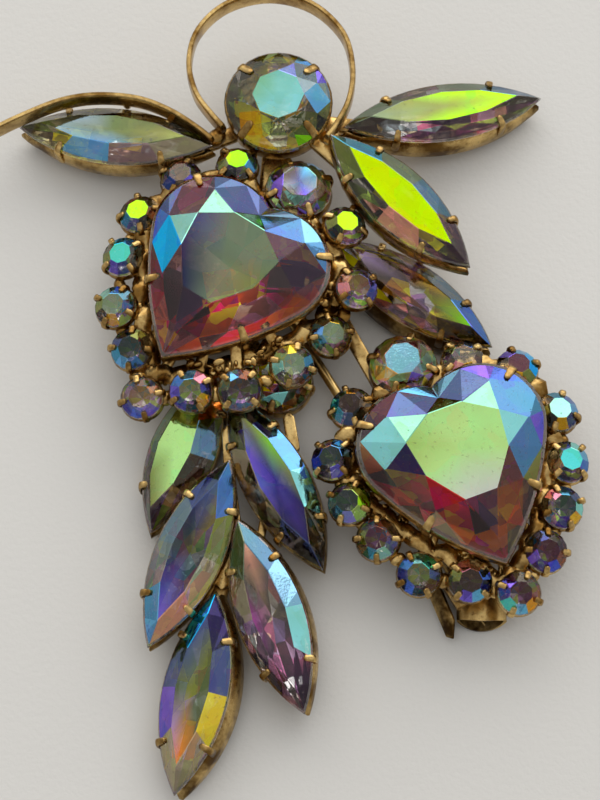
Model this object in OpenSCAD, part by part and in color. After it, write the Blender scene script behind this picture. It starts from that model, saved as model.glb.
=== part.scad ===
// Rhinestone brooch lying on its back: two hearts with halos of small stones,
// a round stone in a ribbon loop, nine navettes and a plain pin back.
// Millimetres, +Z up and out of the faces, +Y towards the ribbon loop.

/* [Round stones] */
// Diameter of a small halo stone
small_d = 3.2; // [2.8:0.1:3.3]
// Diameter of a medium stone
medium_d = 5.2; // [4.8:0.1:5.4]
// Diameter of the large round stone
round_d = 8.4; // [8:0.1:8.8]
// Crown height as a share of the diameter
crown_share = 0.23; // [0.18:0.01:0.24]
// Pavilion depth as a share of the diameter
pavilion_share = 0.4; // [0.34:0.01:0.42]

/* [Hearts] */
// Radius of each lobe of a heart stone
lobe_r = 4.9; // [4.8:0.1:5]
// Half the distance between the centres of the two lobes
lobe_offset = 2.7; // [2.6:0.05:2.8]
// Distance from the lobe centres down to the point
heart_drop = 11.15; // [11:0.05:11.3]
// Angle between a side and the axis at the point
point_angle = 51; // [50:1:52]
// Crown height of a heart
heart_crown = 2.3; // [1.8:0.1:2.4]
// Pavilion depth of a heart
heart_pavilion = 3.2; // [2.8:0.1:3.3]

/* [Navettes] */
// Length of a navette stone
navette_l = 15.8; // [15:0.1:16]
// Width of a navette stone
navette_w = 5.2; // [4.8:0.1:5.4]
// Crown height of a navette
navette_crown = 1.3; // [1:0.1:1.4]
// Pavilion depth of a navette
navette_pavilion = 1.7; // [1.4:0.1:1.8]

/* [Cut] */
// Table of every stone as a share of its outline
table_share = 0.54; // [0.48:0.01:0.58]
// Height of every stone's girdle band
girdle_h = 0.2; // [0.15:0.05:0.25]

/* [Settings] */
// Gap between a stone and its setting
seat_gap = 0.06; // [0.05:0.01:0.08]
// Wall of a cup or a collar
wall = 0.35; // [0.3:0.05:0.4]
// Height of the band round a heart's girdle
collar_band = 1; // [0.95:0.05:1.1]
// Outline of a heart's cup below the band as a share of the stone
collar_share = 0.86; // [0.86:0.01:0.92]
// Thickness of a folded prong
prong_t = 0.22; // [0.18:0.01:0.26]
// Lean of the halo cups away from their heart
halo_lean = 14; // [8:1:18]
// Length of the strut under a halo cup
strut_l = 4.8; // [4.6:0.1:5]

/* [Ribbons and bars] */
// Thickness of the ribbon strip
ribbon_t = 0.5; // [0.4:0.05:0.6]
// Height of the ribbon strip on its edge
ribbon_h = 1.8; // [1.5:0.1:2.1]
// Thickness of the flat bars under the settings
bar_t = 0.7; // [0.6:0.05:0.8]
// Diameter of the pin wire
pin_d = 0.8; // [0.7:0.05:0.9]
// Outer radius of the catch tube
catch_r = 1.4; // [1.2:0.05:1.4]

/* [Hidden] */
$fn = 40;
GOLD = "goldenrod";
CRYSTAL = "lightsteelblue";

// Middle of the whole brooch in the coordinates of the tables below
MIDDLE = [-1.965, 2.405, 0];

// Facets round a cut: eight mains, each over CUT_STEP girdle points
MAINS = 8;

// Large round stone: x, y, girdle z, lean heading, lean
ROUND = [-1.8, 26.1, 5.6, 90, 2];

// Medium stones: x, y, girdle z, lean heading, lean
MEDIUM = [
    [-0.1, 18.6, 4.8, 65, 8],
    [-1.7, 2.4, 2.9, -60, 4],
    [8.3, 3.1, 4.6, 120, 8],
];

// Hearts: x and y of the lobes' middle, girdle z, turn about Z
HEART_LEFT = [-4.8, 12.5, 6.6, -33.5];
HEART_RIGHT = [11.96, -3.47, 6.6, 21];

// Girdle height of most halo stones
HALO_Z = 4.6;

// Small stones of the left halo: x, y, girdle z
HALO_LEFT = [
    [-9.85, 19.75, 4.5],
    [-5.2, 20.9, HALO_Z],
    [3.7, 15.05, 5.4],
    [4.6, 9.4, 5.6],
    [2.5, 5.7, HALO_Z],
    [-0.6, 2.5, 6.2],
    [-4.8, 0.4, 6.2],
    [-8.7, 0.5, 5.7],
    [-12.7, 0.3, HALO_Z],
    [-13.6, 4.5, HALO_Z],
    [-15.0, 8.2, HALO_Z],
    [-14.5, 12.6, HALO_Z],
    [-13.2, 16.4, HALO_Z],
];

// Small stones of the right halo: x, y, girdle z
HALO_RIGHT = [
    [13.15, 3.6, 4.5],
    [17.5, 2.9, 4.5],
    [20.6, -0.9, HALO_Z],
    [21.3, -5.1, HALO_Z],
    [20.7, -8.9, HALO_Z],
    [19.3, -12.5, HALO_Z],
    [17.1, -15.9, HALO_Z],
    [13.3, -14.9, HALO_Z],
    [9.3, -14.4, HALO_Z],
    [6.1, -11.5, HALO_Z],
    [3.9, -8.5, HALO_Z],
    [2.6, -4.9, HALO_Z],
    [4.1, -0.5, HALO_Z],
];

// Navettes: x, y, girdle z at the middle, heading of the outer tip, droop, roll, length share
NAVETTES = [
    [-15.5, 24.1, 3.4, 170, 8, 6, 1.04],
    [12.05, 26.3, 3.4, 13, 8, -4, 1.07],
    [8.15, 16.9, 6.3, -46, 2, 0, 1],
    [9.1, 10.2, 2.7, -36, 0, -4, 1],
    [-9.4, -3.4, 2.3, -110, 0, 0, 0.9],
    [-1.9, -6.4, 3.5, -63, 2, 6, 1],
    [-8.7, -12.5, 4.2, -113, 6, 0, 1],
    [-2.3, -17.5, 3.9, -71, 5, 8, 1],
    [-8.1, -23.4, 3.0, -101, 4, 12, 1],
];

// Ribbon loop round the large stone: x, y
LOOP = [
    [-6.3, 23.7], [-7.4, 25.0], [-8.7, 27.0], [-9.3, 29.8], [-8.6, 32.8],
    [-6.2, 35.3], [-2.6, 36.3], [1.0, 35.3], [3.6, 32.6], [4.4, 29.4],
    [4.1, 26.4], [3.0, 24.0], [2.2, 22.8],
];
LOOP_Z = 4.4;

// Ribbon end over the left navette: x, y
TAIL = [
    [-7.2, 22.9], [-8.7, 24.2], [-10.9, 25.7], [-13.6, 26.8], [-17.0, 27.1],
    [-20.0, 26.6], [-23.0, 25.3], [-25.4, 24.0], [-27.0, 22.9],
];
TAIL_Z = 3.6;

// Flat bars under the settings: start x, y, end x, y, underside z, width
TOP_BARS = [
    [-2.1, 23.4, -2.8, 15.2, 2.4, 2.0],
    [-4.3, 25.0, -9.4, 22.8, 2.7, 1.4],
    [0.9, 25.6, 6.2, 24.9, 2.7, 1.4],
    [1.2, 23.5, 4.4, 20.4, 3.9, 1.6],
    [-0.5, 18.0, 2.9, 14.8, 1.75, 1.2],
];
LEFT_BARS = [
    [-1.5, 17.3, -3.8, 14.8, 2.6, 1.4],
];
RIGHT_BARS = [
    [9.2, 1.5, 11.0, -1.8, 2.4, 1.4],
];
STEM_BARS = [
    [-3.6, 5.1, -5.2, 7.3, 2.2, 1.3],
    [-5.8, -2.0, -5.6, -5.6, 2.4, 1.0],
    [-5.8, -5.6, -5.3, -9.4, 2.4, 1.2],
    [-5.3, -9.4, -6.1, -14.4, 2.2, 1.3],
    [-6.1, -14.4, -7.0, -17.4, 1.6, 1.3],
    [-0.9, -0.8, -0.5, -3.2, 2.1, 1.0],
    [-2.9, -9.4, -3.6, -13.8, 2.0, 0.7],
];
BACK_BARS = [
    [-0.1, 14.5, 15.3, -14.5, 2.1, 1.2],
];

// Posts of solder where ribbons and settings meet: x, y, underside z, radius, height
SOLDER = [
    [-7.0, 23.5, 3.3, 0.7, 1.8],
    [2.6, 23.4, 3.3, 0.8, 1.9],
    [-14.6, 27.1, 3.0, 0.4, 1.4],
    [10.0, 13.1, 1.8, 0.35, 2.5],
];

// Pin wire: hinge end and tip, x, y, and the height of its axis
PIN_START = [-1.6, 9.7];
PIN_END = [14.6, -17.6];
PIN_Z = 1.4;

// Outline points

function arc(c, r, from, to, n) =
    [for (i = [0:n]) c + r * [cos(from + (to - from) * i / n), sin(from + (to - from) * i / n)]];

side_r = (pow(lobe_offset, 2) + pow(heart_drop, 2) - pow(lobe_r, 2))
    / (2 * (heart_drop * sin(point_angle) - lobe_offset * cos(point_angle) - lobe_r));
side_c = [-cos(point_angle) * side_r, sin(point_angle) * side_r - heart_drop];
side_start = atan2(-side_c.y, lobe_offset - side_c.x);
LOBE_STEPS = 9;
SIDE_STEPS = 7;

// Right side of a heart grown by g, from the notch down to the point
function heart_side(g) = concat(
    arc([lobe_offset, 0], lobe_r + g, acos(-lobe_offset / (lobe_r + g)), side_start, LOBE_STEPS),
    [for (i = [1:SIDE_STEPS])
        let (end = -acos(-side_c.x / (side_r + g)), a = side_start + (end - side_start) * i / SIDE_STEPS)
        side_c + (side_r + g) * [cos(a), sin(a)]]);

// Whole heart, anticlockwise from the notch
function heart_ring(g) =
    let (side = heart_side(g), last = len(side) - 1)
    concat([for (p = side) [-p.x, p.y]], [for (i = [1:last - 1]) side[last - i]]);

navette_r = (pow(navette_l, 2) + pow(navette_w, 2)) / (4 * navette_w);
navette_c = navette_r - navette_w / 2;
NAVETTE_POINTS = 16;

// Navette of a share of the full length, grown by g, anticlockwise from its outer tip
function navette_ring(g, share = 1) =
    let (r = navette_r + g, end = acos(navette_c / r), half = NAVETTE_POINTS / 2)
    concat(
        [for (i = [0:half - 1]) let (a = end * (1 - 2 * i / half))
            [share * r * sin(a), r * cos(a) - navette_c]],
        [for (i = [0:half - 1]) let (a = end * (1 - 2 * i / half))
            [-share * r * sin(a), navette_c - r * cos(a)]]);

function round_ring(d, n) = [for (i = [0:n - 1]) d / 2 * [cos(360 * i / n), sin(360 * i / n)]];

function smooth_point(p0, p1, p2, p3, t) =
    0.5 * (2 * p1 + (p2 - p0) * t + (2 * p0 - 5 * p1 + 4 * p2 - p3) * t * t
    + (3 * p1 - p0 - 3 * p2 + p3) * t * t * t);

// Points along a smooth curve through p, n of them for each stretch
function smooth(p, n) =
    let (last = len(p) - 1)
    concat([for (i = [0:last - 1], j = [0:n - 1])
        smooth_point(p[max(i - 1, 0)], p[i], p[i + 1], p[min(i + 2, last)], j / n)], [p[last]]);

function normal_at(p, i) =
    let (d = p[min(i + 1, len(p) - 1)] - p[max(i - 1, 0)])
    [-d.y, d.x] / norm(d);

// Cut stone: table, eight stars, eight kites, upper girdle facets and a pavilion
module cut(ring, centre, first, crown, pavilion) {
    n = len(ring);
    step = n / MAINS;
    middle_share = (1 + table_share) / 2 + 0.02;
    table = [for (k = [0:MAINS - 1]) ring[(k * step + first) % n]];
    middle = [for (k = [0:MAINS - 1]) ring[(k * step + first + step / 2) % n]];
    top = girdle_h / 2;
    points = concat(
        [for (p = table) [each centre + (p - centre) * table_share, top + crown]],
        [for (p = middle) [each centre + (p - centre) * middle_share, top + crown / 2]],
        [for (p = ring) [p.x, p.y, top]],
        [for (p = ring) [p.x, p.y, -top]],
        [[centre.x, centre.y, -pavilion]]);
    upper = 2 * MAINS;
    lower = upper + n;
    faces = concat(
        [[for (k = [0:MAINS - 1]) MAINS - 1 - k]],
        [for (k = [0:MAINS - 1]) [k, (k + 1) % MAINS, MAINS + k]],
        [for (k = [0:MAINS - 1]) [k, MAINS + k, upper + (k * step + first) % n]],
        [for (k = [0:MAINS - 1])
            [k, upper + (k * step + first) % n, MAINS + (k + MAINS - 1) % MAINS]],
        [for (k = [0:MAINS - 1], j = [0:step - 1]) let (a = k * step + first + j)
            [MAINS + k, upper + (a + 1) % n, upper + a % n]],
        [for (j = [0:n - 1]) [upper + j, upper + (j + 1) % n, lower + (j + 1) % n, lower + j]],
        [for (j = [0:n - 1]) [lower + j, lower + (j + 1) % n, lower + n]]);
    polyhedron(points, faces);
}

module round_cut(d) {
    cut(round_ring(d, 16), [0, 0], 0, d * crown_share, d * pavilion_share);
}

// Middle that a heart's facets and cup narrow towards
HEART_MIDDLE = [0, -1.6];

module heart_cut() {
    cut(heart_ring(0), HEART_MIDDLE, 2, heart_crown, heart_pavilion);
}

module navette_cut(share) {
    cut(navette_ring(0, share), [0, 0], 0, navette_crown, navette_pavilion);
}

// Places

module lean(row) {
    translate([row[0], row[1], row[2]])
        rotate([0, 0, row[3]])
            rotate([0, row[4], 0])
                children();
}

module lie(row) {
    translate([row[0], row[1], row[2]])
        rotate([0, 0, row[3]])
            rotate([row[5], row[4], 0])
                children();
}

module heart_place(row) {
    translate([row[0], row[1], row[2]])
        rotate([0, 0, row[3]])
            children();
}

// A small stone's row with its lean away from the middle of its heart
function halo_row(p, heart) =
    let (c = [heart[0], heart[1]] + 2 * [sin(heart[3]), -cos(heart[3])])
    [p.x, p.y, p.z, atan2(p.y - c.y, p.x - c.x), halo_lean];

// Settings

// Prong seen from its side, folded over a crown that rises with the given slope
function prong_profile(r, reach, slope) = [
    [r + seat_gap + 0.12, -0.7],
    [r + wall + 0.12, -0.7],
    [r + wall + 0.12, 0.28],
    [r - reach + 0.08, girdle_h / 2 + slope * reach + seat_gap + 0.08 + prong_t],
    [r - reach, girdle_h / 2 + slope * reach + seat_gap + 0.08],
    [r + seat_gap + 0.12, girdle_h / 2 + 0.02],
];

// Cup of a round stone, turned to fit its pavilion, with four folded prongs
module cup(d, prong_w) {
    r = d / 2;
    depth = d * pavilion_share;
    slope = 2 * crown_share / (1 - table_share);
    rotate_extrude()
        polygon([
            [0, -depth - 0.4],
            [r * 0.6, -depth - 0.4],
            [r + wall, -depth * 0.35],
            [r + wall, girdle_h / 2],
            [r + seat_gap, girdle_h / 2],
            [r + seat_gap, -girdle_h / 2 - seat_gap],
            [0, -depth - 1.6 * seat_gap],
        ]);
    for (i = [0:3])
        rotate([0, 0, 45 + 90 * i])
            translate([r, 0, 0])
                straight_prong(prong_w, slope, 0.11 * d);
}

module straight_prong(w, slope, reach) {
    translate([0, w / 2, 0])
        rotate([90, 0, 0])
            linear_extrude(w)
                polygon(prong_profile(0, reach, slope));
}

module navette_collar(share) {
    depth = navette_pavilion + 0.35;
    half = share * navette_l / 2;
    difference() {
        translate([0, 0, -depth])
            linear_extrude(depth + girdle_h / 2)
                polygon(navette_ring(seat_gap + wall, share));
        translate([0, 0, -navette_pavilion - seat_gap])
            linear_extrude(depth + 1)
                polygon(navette_ring(seat_gap, share));
        for (s = [-1, 1])
            translate([s * (half + 0.6) - 2, -2, -0.8])
                cube([4, 4, 2]);
    }
    for (sx = [-1, 1], sy = [-1, 1])
        let (x = 0.54 * half, a = asin(x / share / navette_r))
        translate([sx * x, sy * (navette_r * cos(a) - navette_c), 0])
            rotate([0, 0, sy * (90 - sx * a)])
                straight_prong(0.9, 1.5, 0.38);
}

// Girdle points of a heart that carry a prong
HEART_PRONGS = [5, 12, 20, 27];

module heart_scaled(share) {
    polygon([for (p = heart_ring(0)) HEART_MIDDLE + (p - HEART_MIDDLE) * share]);
}

// Band round the girdle on a narrower cup, closed at the back
module heart_collar() {
    depth = heart_pavilion + 0.75;
    ring = heart_ring(0);
    difference() {
        union() {
            translate([0, 0, -collar_band])
                linear_extrude(collar_band + girdle_h / 2)
                    polygon(heart_ring(seat_gap + wall));
            translate([0, 0, -depth])
                linear_extrude(depth - collar_band + 0.1)
                    heart_scaled(collar_share);
        }
        translate([0, 0, 0.2 - collar_band])
            linear_extrude(depth)
                polygon(heart_ring(seat_gap));
        translate([0, 0, -heart_pavilion - seat_gap])
            linear_extrude(depth)
                heart_scaled(collar_share - 0.06);
    }
    for (i = HEART_PRONGS)
        let (d = ring[i + 1] - ring[i - 1])
        translate([ring[i].x, ring[i].y, 0])
            rotate([0, 0, atan2(-d.x, d.y)])
                straight_prong(1.2, 1.1, 0.75);
}

// Strut under a halo cup, back to the wall of its heart's collar; a raised cup has a shorter one
module strut(z) {
    depth = small_d * pavilion_share + 0.4;
    length = strut_l - 0.3 * max(0, z - HALO_Z);
    translate([-length, -0.5, 0.06 - depth])
        cube([length - 0.7, 1, 0.35]);
}

module halo(rows, heart) {
    heart_place(heart)
        heart_collar();
    for (p = rows)
        lean(halo_row(p, heart)) {
            cup(small_d, 0.75);
            strut(p.z);
        }
}

module ribbon(points, z) {
    line = smooth(points, 3);
    last = len(line) - 1;
    translate([0, 0, z])
        linear_extrude(ribbon_h)
            polygon(concat(
                [for (i = [0:last]) line[i] + normal_at(line, i) * ribbon_t / 2],
                [for (i = [0:last]) line[last - i] - normal_at(line, last - i) * ribbon_t / 2]));
}

module bar(row) {
    d = [row[2] - row[0], row[3] - row[1]];
    w = row[5];
    translate([row[0], row[1], row[4]])
        rotate([0, 0, atan2(d.y, d.x)])
            linear_extrude(bar_t)
                union() {
                    translate([0, -w / 2])
                        square([norm(d), w]);
                    circle(w / 2, $fn = 12);
                    translate([norm(d), 0])
                        circle(w / 2, $fn = 12);
                }
}

// Collar, halo cups, wire and medium cups of one heart
module heart_setting(rows, heart, mediums, bars) {
    color(GOLD)
        translate(-MIDDLE) {
            halo(rows, heart);
            for (i = mediums)
                lean(MEDIUM[i])
                    cup(medium_d, 0.9);
            for (row = bars)
                bar(row);
        }
}

// Round cup, four navette collars, ribbons and the bars that carry them
module top_setting() {
    color(GOLD)
        translate(-MIDDLE) {
            lean(ROUND)
                cup(round_d, 1.3);
            for (i = [0:3])
                lie(NAVETTES[i])
                    navette_collar(NAVETTES[i][6]);
            ribbon(LOOP, LOOP_Z);
            ribbon(TAIL, TAIL_Z);
            for (row = TOP_BARS)
                bar(row);
            for (s = SOLDER)
                translate([s[0], s[1], s[2]])
                    cylinder(r = s[3], h = s[4], $fn = 10);
        }
}

// Five navette collars on their stem
module spray_setting() {
    color(GOLD)
        translate(-MIDDLE) {
            for (i = [4:8])
                lie(NAVETTES[i])
                    navette_collar(NAVETTES[i][6]);
            lean(MEDIUM[1])
                cup(medium_d, 0.9);
            for (row = STEM_BARS)
                bar(row);
        }
}

// Pin back: flat bar, hinge block, wire, catch tube and its pointed leaf, one plain piece
module pin_back() {
    d = PIN_END - PIN_START;
    length = norm(d);
    color(GOLD)
        translate(-MIDDLE) {
            for (row = BACK_BARS)
                bar(row);
            translate([PIN_START.x, PIN_START.y, PIN_Z])
                rotate([0, 0, atan2(d.y, d.x)]) {
                    translate([-1.2, -0.9, -0.9])
                        cube([2.4, 5, 2.4]);
                    rotate([0, 90, 0])
                        cylinder(d = pin_d, h = length - 2);
                    translate([length - 2, 0, 0])
                        rotate([0, 90, 0])
                            cylinder(d1 = pin_d, d2 = 0.2, h = 2);
                    catch_tube(length);
                }
        }
}

// Tube round the pin's tip, the plate that carries it and a pointed leaf beside it
module catch_tube(length) {
    difference() {
        union() {
            translate([length - 3, 0, 0])
                rotate([0, 90, 0])
                    cylinder(r = catch_r, h = 2.8);
            translate([length - 4.6, -1.8, 0.9])
                cube([3.4, 4.2, 0.9]);
        }
        translate([length - 5, 0, 0])
            rotate([0, 90, 0])
                cylinder(r = catch_r - 0.3, h = 6);
    }
    translate([length, 0, 0.7])
        linear_extrude(bar_t)
            polygon([[-6, -2.2], [-1.6, -2.9], [0.1, -2.9], [-1.8, -1.4], [-6, -1.1]]);
}

// Stones

module stone_round() {
    color(CRYSTAL)
        translate(-MIDDLE)
            lean(ROUND)
                round_cut(round_d);
}

module stone_medium(i) {
    color(CRYSTAL)
        translate(-MIDDLE)
            lean(MEDIUM[i])
                round_cut(medium_d);
}

module stone_small(p, heart) {
    color(CRYSTAL)
        translate(-MIDDLE)
            lean(halo_row(p, heart))
                round_cut(small_d);
}

module stone_heart(heart) {
    color(CRYSTAL)
        translate(-MIDDLE)
            heart_place(heart)
                heart_cut();
}

module stone_navette(i) {
    color(CRYSTAL)
        translate(-MIDDLE)
            lie(NAVETTES[i])
                navette_cut(NAVETTES[i][6]);
}

heart_setting(HALO_LEFT, HEART_LEFT, [0], LEFT_BARS);  // heart_setting_left
heart_setting(HALO_RIGHT, HEART_RIGHT, [2], RIGHT_BARS);  // heart_setting_right
top_setting();
spray_setting();
pin_back();
stone_heart(HEART_LEFT);  // heart_stone_left
stone_heart(HEART_RIGHT);  // heart_stone_right
stone_round();  // round_stone
for (i = [1:len(MEDIUM)])
    stone_medium(i - 1);
for (i = [1:len(NAVETTES)])
    stone_navette(i - 1);
for (i = [1:len(HALO_LEFT)])
    stone_small(HALO_LEFT[i - 1], HEART_LEFT);
for (i = [1:len(HALO_RIGHT)])
    stone_small(HALO_RIGHT[i - 1], HEART_RIGHT);
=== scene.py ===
"""Looks of a rhinestone brooch that lies on its back on a pale table.

Lengths are in millimetres and angles in degrees in the tables and classes. Each mesh is written in metres,
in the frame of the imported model: +Z out of the stones' faces, +Y towards the ribbon loop.
"""

from __future__ import annotations

import logging
import math
from dataclasses import dataclass, field
from enum import Enum
from typing import Any, Sequence

import bpy
import numpy as np
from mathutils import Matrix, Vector

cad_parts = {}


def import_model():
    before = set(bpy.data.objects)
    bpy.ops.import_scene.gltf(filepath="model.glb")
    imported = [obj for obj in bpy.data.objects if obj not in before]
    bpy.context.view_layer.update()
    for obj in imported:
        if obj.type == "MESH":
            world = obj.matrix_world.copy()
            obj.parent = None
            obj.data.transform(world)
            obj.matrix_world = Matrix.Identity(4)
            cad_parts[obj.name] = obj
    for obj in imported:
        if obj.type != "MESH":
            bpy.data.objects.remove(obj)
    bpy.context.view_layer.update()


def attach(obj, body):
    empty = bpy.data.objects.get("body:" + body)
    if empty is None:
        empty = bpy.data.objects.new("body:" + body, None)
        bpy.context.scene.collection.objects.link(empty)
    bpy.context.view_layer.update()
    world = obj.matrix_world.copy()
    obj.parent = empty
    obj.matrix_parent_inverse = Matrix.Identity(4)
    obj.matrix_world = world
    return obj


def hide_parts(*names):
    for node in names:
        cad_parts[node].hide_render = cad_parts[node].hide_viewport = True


log = logging.getLogger("brooch")

Point = tuple[float, float]
Row = tuple[float, ...]
Shade = tuple[float, float, float, float]

MM = 0.001
BODY = "root"
FIRE = "fire"
# Middle of the whole brooch in the coordinates of the tables below
MIDDLE = np.array([-1.965, 2.405, 0.0])


def linear(code: str) -> Row:
    """Turn a colour as written on a screen, six hexadecimal digits, into the linear one that shaders use."""
    value = np.array([int(code[i : i + 2], 16) for i in (0, 2, 4)]) / 255.0
    return tuple(np.where(value <= 0.04045, value / 12.92, ((value + 0.055) / 1.055) ** 2.4).tolist())


def opaque(code: str) -> Shade:
    """Linear colour with full alpha."""
    return (*linear(code), 1.0)


class Fire(Enum):
    """Colours that a coated stone throws: screen colour and how much the coating hides the glass under it."""

    LEMON = ("ccee00", 0.95)
    LIME = ("8cc81c", 0.95)
    FRESH = ("a2c868", 0.85)
    PALE_LIME = ("b4e088", 0.9)
    MINT = ("86c8a6", 0.9)
    SEAFOAM = ("8fd0c0", 0.8)
    TURQUOISE = ("58d8c8", 0.95)
    AQUA = ("88d4d0", 0.9)
    CYAN = ("18b4f4", 0.95)
    SKY = ("62a8d8", 0.85)
    TEAL = ("3f8fae", 0.8)
    STEEL = ("56829c", 0.7)
    SLATE = ("46568a", 0.7)
    GREYBLUE = ("7890a0", 0.6)
    AZURE = ("4a74c0", 0.85)
    BLUE = ("3f58c4", 0.85)
    INDIGO = ("34308c", 0.8)
    NAVY = ("26244e", 0.85)
    VIOLET = ("6f5cc8", 0.85)
    PERIWINKLE = ("8c8ee0", 0.85)
    MAGENTA = ("a03c94", 0.7)
    LILAC = ("b090c0", 0.75)
    PLUM = ("3c2640", 0.45)
    MAUVE = ("6c4a64", 0.24)
    ROSE = ("8a4650", 0.06)
    PINK = ("e08a94", 0.7)
    PEACH = ("e8a888", 0.8)
    COPPER = ("a8582c", 0.35)
    ORANGE = ("ea8a34", 0.8)
    AMBER = ("e4ac18", 0.7)
    GOLD = ("dcc038", 0.85)
    OLIVE = ("7f8a48", 0.75)
    MOSS = ("5c6638", 0.6)
    GREYGREEN = ("75866a", 0.75)
    SMOKE = ("4c443c", 0.25)
    TAUPE = ("6e6050", 0.25)
    INK = ("1e2628", 0.7)
    EMBER = ("ff5a34", 0.9)
    CRIMSON = ("c42450", 0.8)
    COAL = ("2e181e", 0.3)
    SILVER = ("8f989c", 0.5)
    HAZE = ("7cb0c4", 0.95)
    DUSK = ("5a6a9c", 0.85)
    DENIM = ("4f7fae", 0.85)
    BEIGE = ("b8ac88", 0.6)
    SHADE = ("3a302a", 0.82)
    BARK = ("6a5030", 0.75)
    MURK = ("2c3834", 0.8)
    WINE = ("40242e", 0.8)
    # Girdle band: mostly clear glass, with a near-white painted highlight that draws a bright line round the
    # rim
    EDGE = ("ffeee8", 0.16)
    PALE = ("c8ccc0", 0.85)
    BLUSH = ("c8a09c", 0.35)
    CLEAR = ("d8d0c4", 0.05)
    CLEAR_ROSE = ("d0a8a0", 0.04)
    CLEAR_GREEN = ("b8c0a0", 0.1)

    @property
    def corner(self) -> Shade:
        """Linear colour of the reflection, and the share of the light that the coating turns back."""
        code, cover = self.value
        return (*linear(code), cover)


def fires(names: str) -> list[Fire]:
    """Colours from their names, which have spaces between them."""
    return [Fire[name] for name in names.split()]


def stand(name: str, data: bpy.types.ID) -> bpy.types.Object:
    """Put an object with these data into the scene."""
    thing = bpy.data.objects.new(name, data)
    bpy.context.scene.collection.objects.link(thing)
    return thing


# Shapes


@dataclass(frozen=True)
class Place:
    """Where a stone or a setting stands, with its turn about Z, pitch about Y and roll about X."""

    x: float
    y: float
    z: float
    turn: float = 0.0
    pitch: float = 0.0
    roll: float = 0.0

    def matrix(self) -> np.ndarray:
        """Rotation as a 3 by 3 array: roll first, then pitch, then turn."""
        t, p, r = (math.radians(a) for a in (self.turn, self.pitch, self.roll))
        about_z = np.array([[math.cos(t), -math.sin(t), 0], [math.sin(t), math.cos(t), 0], [0, 0, 1]])
        about_y = np.array([[math.cos(p), 0, math.sin(p)], [0, 1, 0], [-math.sin(p), 0, math.cos(p)]])
        about_x = np.array([[1, 0, 0], [0, math.cos(r), -math.sin(r)], [0, math.sin(r), math.cos(r)]])
        return about_z @ about_y @ about_x

    def put(self, points: np.ndarray) -> np.ndarray:
        """Carry points from the piece's own coordinates to the brooch's, both in millimetres."""
        return points @ self.matrix().T + np.array([self.x, self.y, self.z])


@dataclass
class Shell:
    """Points and faces of a piece, with a material slot and the corners' colours for each face."""

    points: np.ndarray = field(default_factory=lambda: np.zeros((0, 3)))
    faces: list[tuple[int, ...]] = field(default_factory=list)
    slots: list[int] = field(default_factory=list)
    tints: list[np.ndarray] = field(default_factory=list)

    def take(self, other: Shell, place: Place | None = None) -> None:
        """Append another shell, carried to a place."""
        base = len(self.points)
        points = other.points if place is None else place.put(other.points)
        self.points = np.vstack([self.points, points])
        self.faces += [tuple(i + base for i in f) for f in other.faces]
        self.slots += other.slots
        self.tints += other.tints

    def build(
        self, name: str, materials: Sequence[bpy.types.Material], smooth_angle: float = 0.0
    ) -> bpy.types.Object:
        """Write the shell as one object in metres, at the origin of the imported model.

        Args:
            name: name of the object.
            materials: one for each slot.
            smooth_angle: edges flatter than this many degrees are shaded smooth; 0 leaves all facets flat.

        Returns:
            The object, linked to the scene.
        """
        mesh = bpy.data.meshes.new(name)
        mesh.from_pydata(((self.points - MIDDLE) * MM).tolist(), [], self.faces)
        for material in materials:
            mesh.materials.append(material)
        mesh.polygons.foreach_set("material_index", np.array(self.slots, np.int32))
        if self.tints:
            layer = mesh.attributes.new(FIRE, "FLOAT_COLOR", "CORNER")
            layer.data.foreach_set("color", np.vstack(self.tints).astype(np.float32).ravel())
        if smooth_angle:
            mesh.shade_smooth()
            mesh.set_sharp_from_angle(angle=math.radians(smooth_angle))
        mesh.validate()
        mesh.update()
        return stand(name, mesh)


def loft(rings: np.ndarray, capped: bool = True) -> Shell:
    """Skin a stack of closed rings: each is joined to the next by a band of quads.

    Args:
        rings: array of rings by points by x, y, z. Seen along the stack the points run anticlockwise.
        capped: close both ends by a fan to the ring's middle.

    Returns:
        The skin.
    """
    count, sides = rings.shape[:2]
    points = rings.reshape(-1, 3)
    i = np.arange(count - 1)[:, None] * sides
    j = np.arange(sides)[None, :]
    k = (j + 1) % sides
    quads = np.stack([i + j, i + k, i + sides + k, i + sides + j], axis=-1).reshape(-1, 4)
    faces = [tuple(q) for q in quads.tolist()]
    if capped:
        n, last = len(points), (count - 1) * sides
        pairs = list(zip(range(sides), k[0].tolist()))
        faces += [(b, a, n) for a, b in pairs]
        faces += [(a + last, b + last, n + 1) for a, b in pairs]
        points = np.vstack([points, rings[0].mean(axis=0), rings[-1].mean(axis=0)])
    return Shell(points, faces, [0] * len(faces))


def turned(profile: Sequence[Point], sides: int) -> Shell:
    """Turn a profile of radius and height about Z; it runs from the bottom outwards and up."""
    line = np.array(profile)
    angle = 2 * math.pi * np.arange(sides) / sides
    across = [line[:, :1] * np.cos(angle), line[:, :1] * np.sin(angle)]
    return loft(np.stack([*across, np.repeat(line[:, 1:], sides, axis=1)], axis=-1))


def smooth_line(points: Sequence[Row], steps: int) -> np.ndarray:
    """Catmull-Rom curve: through every point, with the slope there along the chord of its neighbours.

    Args:
        points: points to run through.
        steps: stretches between two of them.

    Returns:
        Rows of points along the curve.
    """
    p = np.array(points, float)
    padded = np.vstack([p[:1], p, p[-1:]])
    t = (np.arange(steps) / steps)[None, :, None]
    a, b, c, d = (padded[i : len(p) - 1 + i, None, :] for i in range(4))
    curve = 0.5 * (2 * b + (c - a) * t + (2 * a - 5 * b + 4 * c - d) * t**2 + (3 * b - a - 3 * c + d) * t**3)
    return np.vstack([curve.reshape(-1, p.shape[1]), p[-1:]])


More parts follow.
